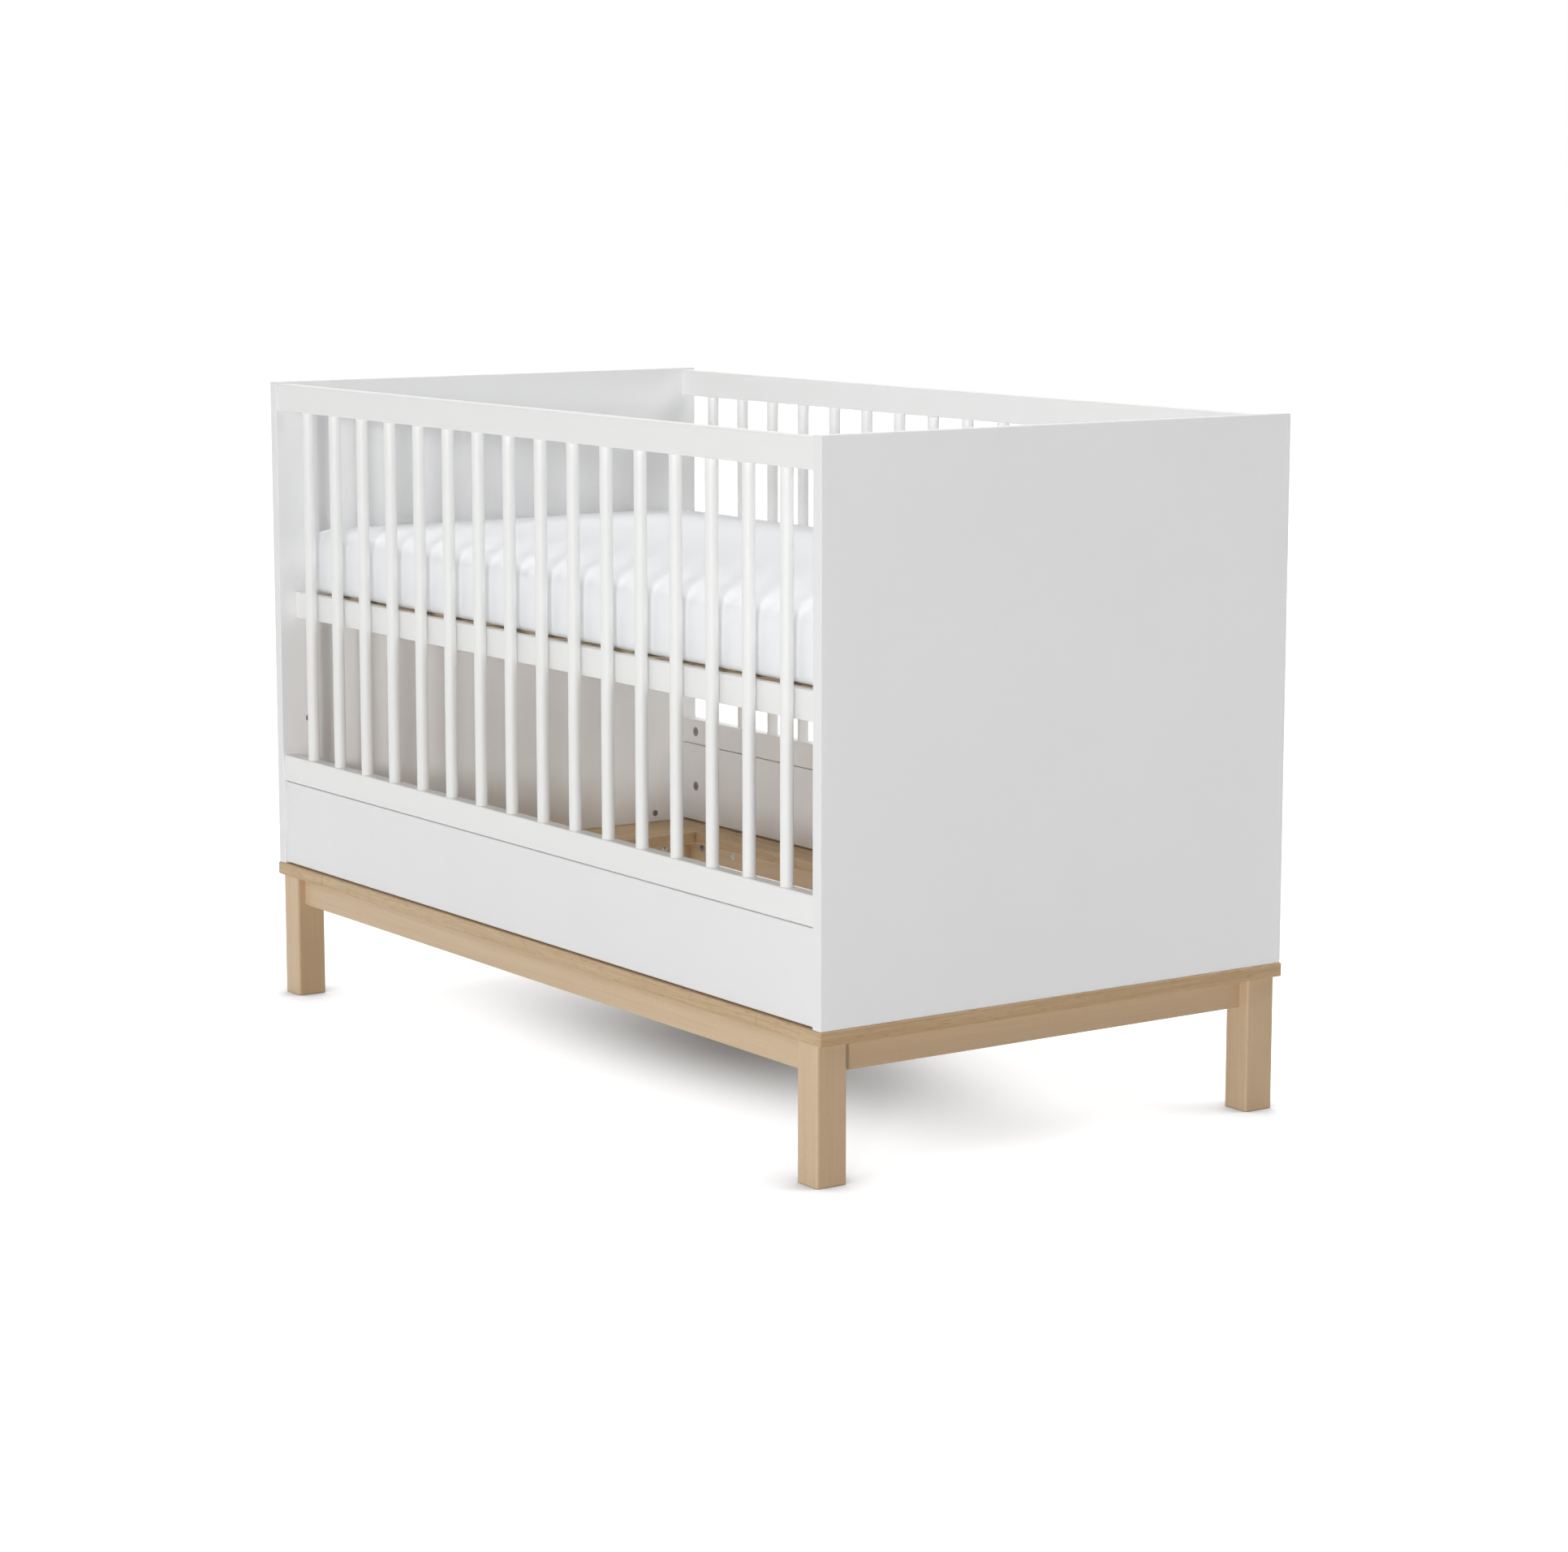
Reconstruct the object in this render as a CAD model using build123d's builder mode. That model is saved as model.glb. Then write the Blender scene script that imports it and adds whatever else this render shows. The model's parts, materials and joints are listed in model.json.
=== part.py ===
import os

from build123d import *

os.makedirs("parts", exist_ok=True)

# A cot bed in millimetres. The origin is on the floor under the middle of the cot.
# X runs along its length, the front side is at -Y, and Z is up.
ENDS = {"left": -1, "right": 1}
SIDES = {"front": -1, "back": 1}
BELOW = (Align.CENTER, Align.CENTER, Align.MAX)
ABOVE = (Align.CENTER, Align.CENTER, Align.MIN)

# Overall size
cot_length = 1440
cot_depth = 750
cot_height = 930

# Wooden base: legs, aprons and the ring of boards on top of them
leg_size = 45
leg_height = 182
leg_inset_x = 11
leg_inset_y = 3
leg_edge_radius = 4
leg_foot_chamfer = 1.5
apron_height = 42
apron_thickness = 20
side_apron_setback = 12
end_apron_setback = 18
apron_edge_radius = 2
board_thickness = 18
end_board_width = 141
long_board_width = 82
board_edge_chamfer = 1

# End panels, which stand on the end boards
panel_thickness = 18
panel_inset_x = 2
panel_inset_y = 1
panel_edge_radius = 1.5

# Sides: top rail, spindles, bottom rail and skirt
side_thickness = 20
side_setback = 4
rail_height = 40
rail_edge_radius = 2
top_rail_drop = 3
skirt_height = 124
skirt_edge_radius = 1.5
skirt_board_gap = 2
skirt_rail_gap = 1
spindle_count = 16
spindle_diameter = 17
tenon_diameter = 12
tenon_length = 15

# Mattress base at its top height
base_rail_height = 39
base_side_rail_thickness = 12
base_end_rail_thickness = 18
base_edge_radius = 1.5
base_gap_x = 0.5
base_gap_y = 3
base_bolt_drop = 335.5
base_low_rise = 46.5
base_row_count = 3
base_bolt_inset = 21
ledger_size = 15
ledger_end_gap = 40
slat_count = 11
slat_width = 70
slat_thickness = 10
slat_end_gap = 0.5
slat_edge_radius = 1.5

# Mattress
mattress_end_gap = 4.5
mattress_side_gap = 2
mattress_edge_height = 100
mattress_crown = 6
mattress_draw_in = 2
mattress_corner_radius = 40
mattress_top_radius = 25
mattress_bottom_radius = 8
mattress_rest_gap = 0.3

# Cam locks: a cast disc in the rail or apron, and a steel pin in the piece that it pulls on
cam_diameter = 15
cam_depth = 14.5
cam_slot_length = 9
cam_slot_width = 1.6
cam_slot_depth = 2.5
cam_pin_diameter = 7
cam_thread_diameter = 5
cam_thread_length = 11
side_cam_setback = 36
skirt_cam_rise = 56
top_cam_pin_depth = 10
apron_cam_setback = 33
apron_cam_rise = 2

# Wooden dowels
dowel_diameter = 8
apron_dowel_length = 30
apron_dowel_drop = 13
board_dowel_length = 40
board_dowel_inset = 20

# Barrel nuts and the bolts that screw into them
bolt_diameter = 6
bolt_head_diameter = 10
bolt_head_height = 6
bolt_sink_diameter = 12
bolt_tip = 8
socket_width = 5
socket_depth = 3
nut_diameter = 10
nut_length = 15
nut_slot_length = 7
nut_slot_width = 1.4
nut_slot_depth = 1.5
panel_nut_rise = 14
panel_nut_inset = 79
side_board_bolt_setback = 37
end_board_bolt_setback = 127
leg_bolt_inset = 12
leg_bolt_length = 60

# Threaded inserts and the height bolts that hold the mattress base
insert_diameter = 10
insert_length = 13
insert_bore = 6.4
height_bolt_reach = 12
height_bolt_tip_gap = 0.5

# Wood screws of the mattress base
screw_diameter = 4
screw_head_diameter = 7.5
screw_socket_width = 2.5
screw_socket_depth = 1.5
slat_screw_length = 22
corner_screw_length = 45
corner_screw_rise = 9.5
ledger_screw_length = 24
slats_per_ledger_screw = 3

# Radial room around glued and screwed pieces, and around the height bolts in their rails
seat_clearance = 0.05
hole_end_gap = 0.5
bolt_clearance = 0.1

# Levels and places that follow from the sizes above
base_top = leg_height + board_thickness
leg_x = cot_length / 2 - leg_inset_x - leg_size / 2
leg_y = cot_depth / 2 - leg_inset_y - leg_size / 2
side_apron_length = 2 * leg_x - leg_size
end_apron_length = 2 * leg_y - leg_size
side_apron_y = leg_y + leg_size / 2 - side_apron_setback - apron_thickness / 2
end_apron_x = leg_x + leg_size / 2 - end_apron_setback - apron_thickness / 2
apron_mid = leg_height - apron_height / 2
apron_cam_level = apron_mid + apron_cam_rise
apron_dowel_level = apron_mid - apron_dowel_drop
board_mid = leg_height + board_thickness / 2
long_board_length = cot_length - 2 * end_board_width
board_seam = long_board_length / 2
long_board_y = cot_depth / 2 - long_board_width / 2
side_board_bolt_x = board_seam - side_board_bolt_setback
end_board_bolt_y = end_apron_length / 2 - end_board_bolt_setback
panel_inner = cot_length / 2 - panel_inset_x - panel_thickness
panel_x = panel_inner + panel_thickness / 2
panel_depth = cot_depth - 2 * panel_inset_y
panel_height = cot_height - base_top
panel_bolt_y = panel_depth / 2 - panel_nut_inset
panel_nut_level = base_top + panel_nut_rise
side_outer = panel_depth / 2 - side_setback
side_inner = side_outer - side_thickness
side_y = side_outer - side_thickness / 2
inner_length = 2 * panel_inner
skirt_bottom = base_top + skirt_board_gap
skirt_mid = skirt_bottom + skirt_height / 2
bottom_rail_mid = skirt_bottom + skirt_height + skirt_rail_gap + rail_height / 2
top_rail_mid = cot_height - top_rail_drop - rail_height / 2
spindle_bottom = bottom_rail_mid + rail_height / 2
spindle_top = top_rail_mid - rail_height / 2
spindle_pitch = (inner_length + spindle_diameter) / (spindle_count + 1)
side_cam_x = panel_inner - side_cam_setback
skirt_cam_level = skirt_bottom + skirt_cam_rise
base_bolt_row = cot_height - base_bolt_drop
base_row_pitch = (base_bolt_row - base_top - base_low_rise) / (base_row_count - 1)
base_end = panel_inner - base_gap_x
base_side = side_inner - base_gap_y
base_rail_top = base_bolt_row + base_rail_height / 2
base_inner_end = base_end - base_end_rail_thickness
base_inner_side = base_side - base_side_rail_thickness
base_rail_y = base_side - base_side_rail_thickness / 2
height_bolt_y = side_inner - base_bolt_inset
height_rows = [base_bolt_row - row * base_row_pitch for row in range(base_row_count)]
ledger_length = 2 * (base_inner_end - ledger_end_gap)
ledger_y = base_inner_side - ledger_size / 2
slat_mid = base_rail_top - slat_thickness / 2
ledger_mid = base_rail_top - slat_thickness - ledger_size / 2
slat_pitch = (ledger_length - slat_width) / (slat_count - 1)
mattress_bottom = base_rail_top + mattress_rest_gap


def save(built, node):
    """Name a finished piece and write it."""
    built.part.label = node
    export_step(built.part, f"parts/{node}.step")


def facing(points, out):
    """Planes at the given points whose normals point out of the material."""
    return [Plane(origin=point, z_dir=out) for point in points]


def drill(places, diameter, depth):
    """Round holes that run inwards from each place."""
    with Locations(*places):
        Hole(diameter / 2 + seat_clearance, depth)


def rods(places, diameter, length):
    """Round pieces that run inwards from each place."""
    with Locations(*places):
        Cylinder(diameter / 2, length, align=BELOW)


def sockets(places, width, depth):
    """Six-sided key sockets in the heads at each place."""
    with BuildSketch(*places) as socket:
        RegularPolygon(width / 2, 6, major_radius=False)
    extrude(socket.sketch, amount=-depth, mode=Mode.SUBTRACT)


def sunk_screws(places, diameter, head_diameter, length, socket, depth):
    """Countersunk screws with their heads level with each place."""
    rods(places, diameter, length)
    with Locations(*places):
        Cone(diameter / 2, head_diameter / 2, (head_diameter - diameter) / 2, align=BELOW)
    sockets(places, socket, depth)


def sunk_holes(places, diameter, head_diameter, depth):
    """Countersunk holes for those screws."""
    with Locations(*places):
        CounterSinkHole(
            diameter / 2 + seat_clearance, head_diameter / 2 + seat_clearance, depth, counter_sink_angle=90
        )


def cam_lock(place, pin_point, pin_out):
    """A cam disc level with its place, with a cross slot and a bore for the pin's head."""
    rods([place], cam_diameter, cam_depth)
    with BuildSketch(place) as cross:
        Rectangle(cam_slot_length, cam_slot_width)
        Rectangle(cam_slot_width, cam_slot_length)
    extrude(cross.sketch, amount=-cam_slot_depth, mode=Mode.SUBTRACT)
    with Locations(*facing([pin_point], pin_out)):
        Cylinder(cam_pin_diameter / 2 + seat_clearance, cam_diameter, align=ABOVE, mode=Mode.SUBTRACT)


def cam_pins(places, reach):
    """Cam pins: a shank that stands out of each place, and a thread that goes into it."""
    rods(places, cam_thread_diameter, cam_thread_length)
    with Locations(*places):
        Cylinder(cam_pin_diameter / 2, reach, align=ABOVE)


def barrel_nuts(places, bolt_places):
    """Barrel nuts level with each place, with a screwdriver slot and a cross bore."""
    rods(places, nut_diameter, nut_length)
    with BuildSketch(*places) as slot:
        Rectangle(nut_slot_length, nut_slot_width)
    extrude(slot.sketch, amount=-nut_slot_depth, mode=Mode.SUBTRACT)
    with Locations(*bolt_places):
        Cylinder(bolt_diameter / 2 + seat_clearance, 2 * nut_diameter, mode=Mode.SUBTRACT)


# Legs
leg_bolt_x = leg_x + leg_size / 2 - leg_bolt_inset
leg_bolt_y = leg_y + leg_size / 2 - leg_bolt_inset
cam_thread_hole = cam_thread_length + hole_end_gap
apron_dowel_hole = apron_dowel_length / 2 + hole_end_gap

for end, ex in ENDS.items():
    for side, sy in SIDES.items():
        beside = [(ex * side_apron_length / 2, sy * side_apron_y)]
        behind = [(ex * end_apron_x, sy * end_apron_length / 2)]
        with BuildPart() as leg:
            with Locations((ex * leg_x, sy * leg_y, 0)):
                Box(leg_size, leg_size, leg_height, align=ABOVE)
            fillet(leg.edges().filter_by(Axis.Z), leg_edge_radius)
            chamfer(leg.faces().sort_by(Axis.Z)[0].edges(), leg_foot_chamfer)
            for faces, out in ((beside, (-ex, 0, 0)), (behind, (0, -sy, 0))):
                pin_holes = facing([(x, y, apron_cam_level) for x, y in faces], out)
                dowel_holes = facing([(x, y, apron_dowel_level) for x, y in faces], out)
                drill(pin_holes, cam_thread_diameter, cam_thread_hole)
                drill(dowel_holes, dowel_diameter, apron_dowel_hole)
            bolt_holes = facing([(ex * leg_bolt_x, sy * leg_bolt_y, leg_height)], (0, 0, 1))
            drill(bolt_holes, bolt_diameter, leg_bolt_length - board_thickness + hole_end_gap)
        save(leg, f"leg_{side}_{end}")

# Places of the aprons' cam locks, barrel nuts and dowels
side_apron_inner = side_apron_y - apron_thickness / 2
end_apron_inner = end_apron_x - apron_thickness / 2
side_apron_cam_x = side_apron_length / 2 - apron_cam_setback
end_apron_cam_y = end_apron_length / 2 - apron_cam_setback


def side_apron_places(sy, x, level, ends=(-1, 1)):
    """Places on the inner face of a side apron, mirrored along its length."""
    return facing([(ex * x, sy * side_apron_inner, level) for ex in ends], (0, -sy, 0))


def end_apron_places(ex, y, level, sides=(-1, 1)):
    """Places on the inner face of an end apron, mirrored along its length."""
    return facing([(ex * end_apron_inner, sy * y, level) for sy in sides], (-ex, 0, 0))


def side_apron_ends(ex, level):
    """Places on both side aprons' end faces at one end of the cot."""
    return facing([(ex * side_apron_length / 2, sy * side_apron_y, level) for sy in (-1, 1)], (ex, 0, 0))


def end_apron_ends(sy, level):
    """Places on both end aprons' end faces at one side of the cot."""
    return facing([(ex * end_apron_x, sy * end_apron_length / 2, level) for ex in (-1, 1)], (0, sy, 0))


side_board_bolts = [(ex * side_board_bolt_x, sy * side_apron_y) for ex in (-1, 1) for sy in (-1, 1)]
end_board_bolts = [(ex * end_apron_x, sy * end_board_bolt_y) for ex in (-1, 1) for sy in (-1, 1)]
board_bolt_length = base_top - apron_mid + bolt_tip
board_bolt_hole = board_bolt_length - board_thickness + hole_end_gap


def upward(points, level):
    """Places on level faces that look up."""
    return facing([(x, y, level) for x, y in points], (0, 0, 1))


# Side aprons
for side, sy in SIDES.items():
    own_bolts = [point for point in side_board_bolts if point[1] * sy > 0]
    with BuildPart() as side_apron:
        with Locations((0, sy * side_apron_y, apron_mid)):
            Box(side_apron_length, apron_thickness, apron_height)
        fillet(side_apron.edges().filter_by(Axis.X).group_by(Axis.Z)[0], apron_edge_radius)
        drill(side_apron_places(sy, side_apron_cam_x, apron_cam_level), cam_diameter, cam_depth)
        drill(side_apron_places(sy, side_board_bolt_x, apron_mid), nut_diameter, nut_length)
        drill(upward(own_bolts, leg_height), bolt_diameter, board_bolt_hole)
        for ex in (-1, 1):
            own_end = [place for place in side_apron_ends(ex, apron_cam_level) if place.origin.Y * sy > 0]
            drill(own_end, cam_pin_diameter, apron_cam_setback)
            own_end = [place for place in side_apron_ends(ex, apron_dowel_level) if place.origin.Y * sy > 0]
            drill(own_end, dowel_diameter, apron_dowel_hole)
    save(side_apron, f"apron_{side}")

# End aprons
for end, ex in ENDS.items():
    own_bolts = [point for point in end_board_bolts if point[0] * ex > 0]
    with BuildPart() as end_apron:
        with Locations((ex * end_apron_x, 0, apron_mid)):
            Box(apron_thickness, end_apron_length, apron_height)
        fillet(end_apron.edges().filter_by(Axis.Y).group_by(Axis.Z)[0], apron_edge_radius)
        drill(end_apron_places(ex, end_apron_cam_y, apron_cam_level), cam_diameter, cam_depth)
        drill(end_apron_places(ex, end_board_bolt_y, apron_mid), nut_diameter, nut_length)
        drill(upward(own_bolts, leg_height), bolt_diameter, board_bolt_hole)
        for sy in (-1, 1):
            own_end = [place for place in end_apron_ends(sy, apron_cam_level) if place.origin.X * ex > 0]
            drill(own_end, cam_pin_diameter, apron_cam_setback)
            own_end = [place for place in end_apron_ends(sy, apron_dowel_level) if place.origin.X * ex > 0]
            drill(own_end, dowel_diameter, apron_dowel_hole)
    save(end_apron, f"apron_{end}")

# Cam locks and dowels between the aprons and the legs
with BuildPart() as apron_cams:
    for ex in (-1, 1):
        for sy in (-1, 1):
            place = side_apron_places(sy, side_apron_cam_x, apron_cam_level, (ex,))[0]
            cam_lock(place, (ex * side_apron_cam_x, sy * side_apron_y, apron_cam_level), (ex, 0, 0))
            place = end_apron_places(ex, end_apron_cam_y, apron_cam_level, (sy,))[0]
            cam_lock(place, (ex * end_apron_x, sy * end_apron_cam_y, apron_cam_level), (0, sy, 0))
save(apron_cams, "apron_cams")

with BuildPart() as apron_cam_pins:
    for sign in (-1, 1):
        for place in side_apron_ends(sign, apron_cam_level) + end_apron_ends(sign, apron_cam_level):
            cam_pins(facing([place.origin], -place.z_dir), apron_cam_setback)
save(apron_cam_pins, "apron_cam_pins")

with BuildPart() as apron_dowels:
    for sign in (-1, 1):
        with Locations(*side_apron_ends(sign, apron_dowel_level), *end_apron_ends(sign, apron_dowel_level)):
            Cylinder(dowel_diameter / 2, apron_dowel_length)
save(apron_dowels, "apron_dowels")

# Ring of boards, doweled at the seams
board_dowel_rows = [cot_depth / 2 - board_dowel_inset, cot_depth / 2 - long_board_width + board_dowel_inset]
board_dowel_hole = board_dowel_length / 2 + hole_end_gap


def seam_places(ex, out, sides=(-1, 1)):
    """Places of the dowels on the faces that meet at a board seam."""
    points = [(ex * board_seam, sy * y, board_mid) for sy in sides for y in board_dowel_rows]
    return facing(points, (out, 0, 0))


leg_bolt_points = [(ex * leg_bolt_x, sy * leg_bolt_y) for ex in (-1, 1) for sy in (-1, 1)]
panel_bolt_points = [(ex * panel_x, sy * panel_bolt_y) for ex in (-1, 1) for sy in (-1, 1)]

for end, ex in ENDS.items():
    own_bolts = [point for point in end_board_bolts + leg_bolt_points if point[0] * ex > 0]
    with BuildPart() as end_board:
        with Locations((ex * (board_seam + end_board_width / 2), 0, board_mid)):
            Box(end_board_width, cot_depth, board_thickness)
        chamfer(end_board.edges(), board_edge_chamfer)
        sunk_holes(upward(own_bolts, base_top), bolt_diameter, bolt_sink_diameter, 2 * board_thickness)
        with Locations(*facing([(x, y, leg_height) for x, y in panel_bolt_points if x * ex > 0], (0, 0, -1))):
            CounterBoreHole(
                bolt_diameter / 2 + seat_clearance,
                bolt_head_diameter / 2 + seat_clearance,
                bolt_head_height,
                2 * board_thickness,
            )
        drill(seam_places(ex, -ex), dowel_diameter, board_dowel_hole)
    save(end_board, f"base_end_board_{end}")

for side, sy in SIDES.items():
    own_bolts = [point for point in side_board_bolts if point[1] * sy > 0]
    with BuildPart() as long_board:
        with Locations((0, sy * long_board_y, board_mid)):
            Box(long_board_length, long_board_width, board_thickness)
        chamfer(long_board.edges(), board_edge_chamfer)
        sunk_holes(upward(own_bolts, base_top), bolt_diameter, bolt_sink_diameter, 2 * board_thickness)
        for ex in (-1, 1):
            drill(seam_places(ex, ex, (sy,)), dowel_diameter, board_dowel_hole)
    save(long_board, f"base_long_board_{side}")

with BuildPart() as board_dowels:
    with Locations(*seam_places(-1, 1), *seam_places(1, 1)):
        Cylinder(dowel_diameter / 2, board_dowel_length)
save(board_dowels, "board_dowels")

# Bolts down through the boards, and their barrel nuts in the aprons
with BuildPart() as board_bolts:
    places = upward(side_board_bolts + end_board_bolts, base_top)
    sunk_screws(places, bolt_diameter, bolt_sink_diameter, board_bolt_length, socket_width, socket_depth)
save(board_bolts, "board_bolts")

with BuildPart() as board_barrel_nuts:
    for sign in (-1, 1):
        bolts = upward([point for point in side_board_bolts if point[1] * sign > 0], apron_mid)
        barrel_nuts(side_apron_places(sign, side_board_bolt_x, apron_mid), bolts)
        bolts = upward([point for point in end_board_bolts if point[0] * sign > 0], apron_mid)
        barrel_nuts(end_apron_places(sign, end_board_bolt_y, apron_mid), bolts)
save(board_barrel_nuts, "board_barrel_nuts")

with BuildPart() as leg_bolts:
    places = upward(leg_bolt_points, base_top)
    sunk_screws(places, bolt_diameter, bolt_sink_diameter, leg_bolt_length, socket_width, socket_depth)
save(leg_bolts, "leg_bolts")

# End panels, with holes for the bolts from below, the cam pins and the height inserts
top_pin_level = spindle_top + top_cam_pin_depth
side_pin_rows = [(side_y, skirt_cam_level), (side_y, bottom_rail_mid), (side_y, top_pin_level)]
panel_bolt_length = panel_nut_level - leg_height + bolt_tip
panel_bolt_hole = panel_bolt_length - board_thickness + hole_end_gap


def panel_places(ex, rows, out):
    """Places on an end panel's inner face, mirrored from front to back."""
    return facing([(ex * panel_inner, sy * y, level) for sy in (-1, 1) for y, level in rows], (out, 0, 0))


insert_rows = [(height_bolt_y, level) for level in height_rows]

for end, ex in ENDS.items():
    own_bolts = [(x, y, base_top) for x, y in panel_bolt_points if x * ex > 0]
    with BuildPart() as end_panel:
        with Locations((ex * panel_x, 0, base_top)):
            Box(panel_thickness, panel_depth, panel_height, align=ABOVE)
        fillet(end_panel.edges(), panel_edge_radius)
        drill(facing(own_bolts, (0, 0, -1)), bolt_diameter, panel_bolt_hole)
        drill(panel_places(ex, [(panel_bolt_y, panel_nut_level)], -ex), nut_diameter, nut_length)
        drill(panel_places(ex, side_pin_rows, -ex), cam_thread_diameter, cam_thread_hole)
        drill(panel_places(ex, insert_rows, -ex), insert_diameter, insert_length)
    save(end_panel, f"end_panel_{end}")

with BuildPart() as panel_bolts:
    places = facing([(x, y, leg_height) for x, y in panel_bolt_points], (0, 0, -1))
    rods(places, bolt_diameter, panel_bolt_length)
    rods(places, bolt_head_diameter, bolt_head_height)
    sockets(places, socket_width, socket_depth)
save(panel_bolts, "panel_bolts")

with BuildPart() as panel_barrel_nuts:
    for ex in (-1, 1):
        bolts = upward([point for point in panel_bolt_points if point[0] * ex > 0], panel_nut_level)
        barrel_nuts(panel_places(ex, [(panel_bolt_y, panel_nut_level)], -ex), bolts)
save(panel_barrel_nuts, "panel_barrel_nuts")

with BuildPart() as height_inserts:
    for ex in (-1, 1):
        places = panel_places(ex, insert_rows, -ex)
        rods(places, insert_diameter, insert_length)
        with Locations(*places):
            Hole(insert_bore / 2, insert_length)
save(height_inserts, "height_inserts")

# Rails, spindles and skirts of the two sides
spindle_row = [(index - (spindle_count - 1) / 2) * spindle_pitch for index in range(spindle_count)]
tenon_hole = tenon_length + hole_end_gap


def side_end_places(sy, level):
    """Places on both end faces of a rail or skirt, for the shanks of the cam pins."""
    left = facing([(-panel_inner, sy * side_y, level)], (-1, 0, 0))
    return left + facing([(panel_inner, sy * side_y, level)], (1, 0, 0))


def side_cam_places(sy, level):
    """Places of the cam discs on the inner face of a bottom rail or skirt."""
    return facing([(ex * side_cam_x, sy * side_inner, level) for ex in (-1, 1)], (0, -sy, 0))


def top_cam_places(sy):
    """Places of the cam discs on the underside of a top rail."""
    return facing([(ex * side_cam_x, sy * side_y, spindle_top) for ex in (-1, 1)], (0, 0, -1))


for side, sy in SIDES.items():
    with BuildPart() as top_rail:
        with Locations((0, sy * side_y, top_rail_mid)):
            Box(inner_length, side_thickness, rail_height)
        fillet(top_rail.edges().filter_by(Axis.X), rail_edge_radius)
        tenon_holes = facing([(x, sy * side_y, spindle_top) for x in spindle_row], (0, 0, -1))
        drill(tenon_holes, tenon_diameter, tenon_hole)
        drill(side_end_places(sy, top_pin_level), cam_pin_diameter, side_cam_setback)
        drill(top_cam_places(sy), cam_diameter, cam_depth)
    save(top_rail, f"top_rail_{side}")

    with BuildPart() as bottom_rail:
        with Locations((0, sy * side_y, bottom_rail_mid)):
            Box(inner_length, side_thickness, rail_height)
        fillet(bottom_rail.edges().filter_by(Axis.X), rail_edge_radius)
        drill(upward([(x, sy * side_y) for x in spindle_row], spindle_bottom), tenon_diameter, tenon_hole)
        drill(side_end_places(sy, bottom_rail_mid), cam_pin_diameter, side_cam_setback)
        drill(side_cam_places(sy, bottom_rail_mid), cam_diameter, cam_depth)
    save(bottom_rail, f"bottom_rail_{side}")

    with BuildPart() as skirt_panel:
        with Locations((0, sy * side_y, skirt_mid)):
            Box(inner_length, side_thickness, skirt_height)
        fillet(skirt_panel.edges().filter_by(Axis.X), skirt_edge_radius)
        drill(side_end_places(sy, skirt_cam_level), cam_pin_diameter, side_cam_setback)
        drill(side_cam_places(sy, skirt_cam_level), cam_diameter, cam_depth)
    save(skirt_panel, f"skirt_panel_{side}")

    with BuildPart() as spindles:
        with Locations(*[(x, sy * side_y, (spindle_bottom + spindle_top) / 2) for x in spindle_row]):
            Cylinder(spindle_diameter / 2, spindle_top - spindle_bottom)
            Cylinder(tenon_diameter / 2, spindle_top - spindle_bottom + 2 * tenon_length)
    save(spindles, f"spindles_{side}")

# Cam locks between the sides and the end panels
with BuildPart() as side_cams:
    for sy in (-1, 1):
        for index, ex in enumerate((-1, 1)):
            for level in (skirt_cam_level, bottom_rail_mid):
                cam_lock(side_cam_places(sy, level)[index], (ex * side_cam_x, sy * side_y, level), (ex, 0, 0))
            cam_lock(top_cam_places(sy)[index], (ex * side_cam_x, sy * side_y, top_pin_level), (ex, 0, 0))
save(side_cams, "side_cams")

with BuildPart() as side_cam_pins:
    for ex in (-1, 1):
        cam_pins(panel_places(ex, side_pin_rows, -ex), side_cam_setback)
save(side_cam_pins, "side_cam_pins")

# Mattress base: a frame of rails with ledgers that carry the slats
corner_rows = [base_bolt_row - corner_screw_rise, base_bolt_row + corner_screw_rise]


def corner_places(ex):
    """Places of the corner screws on an end rail's outer face."""
    points = [(ex * base_end, sy * base_rail_y, level) for sy in (-1, 1) for level in corner_rows]
    return facing(points, (ex, 0, 0))


def height_bolt_places(ex, x):
    """Places of the height bolts at one end, on planes that look into the base."""
    return facing([(ex * x, sy * height_bolt_y, base_bolt_row) for sy in (-1, 1)], (-ex, 0, 0))


slat_row = [(index - (slat_count - 1) / 2) * slat_pitch for index in range(slat_count)]
ledger_screw_row = [x + slat_pitch / 2 for x in slat_row[:-1:slats_per_ledger_screw]]


def ledger_screw_places(sy):
    """Places of the ledger screws on a ledger's inner face."""
    points = [(x, sy * (ledger_y - ledger_size / 2), ledger_mid) for x in ledger_screw_row]
    return facing(points, (0, -sy, 0))


for end, ex in ENDS.items():
    with BuildPart() as base_end_rail:
        with Locations((ex * (base_end - base_end_rail_thickness / 2), 0, base_bolt_row)):
            Box(base_end_rail_thickness, 2 * base_side, base_rail_height)
        fillet(base_end_rail.edges().filter_by(Axis.Y), base_edge_radius)
        with Locations(*height_bolt_places(ex, base_inner_end)):
            Hole(bolt_diameter / 2 + bolt_clearance, 2 * base_end_rail_thickness)
        sunk_holes(corner_places(ex), screw_diameter, screw_head_diameter, 2 * base_end_rail_thickness)
    save(base_end_rail, f"mattress_base_end_rail_{end}")

corner_screw_hole = corner_screw_length - base_end_rail_thickness + hole_end_gap
ledger_screw_hole = ledger_screw_length - ledger_size + hole_end_gap
slat_screw_hole = slat_screw_length - slat_thickness + hole_end_gap

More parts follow.
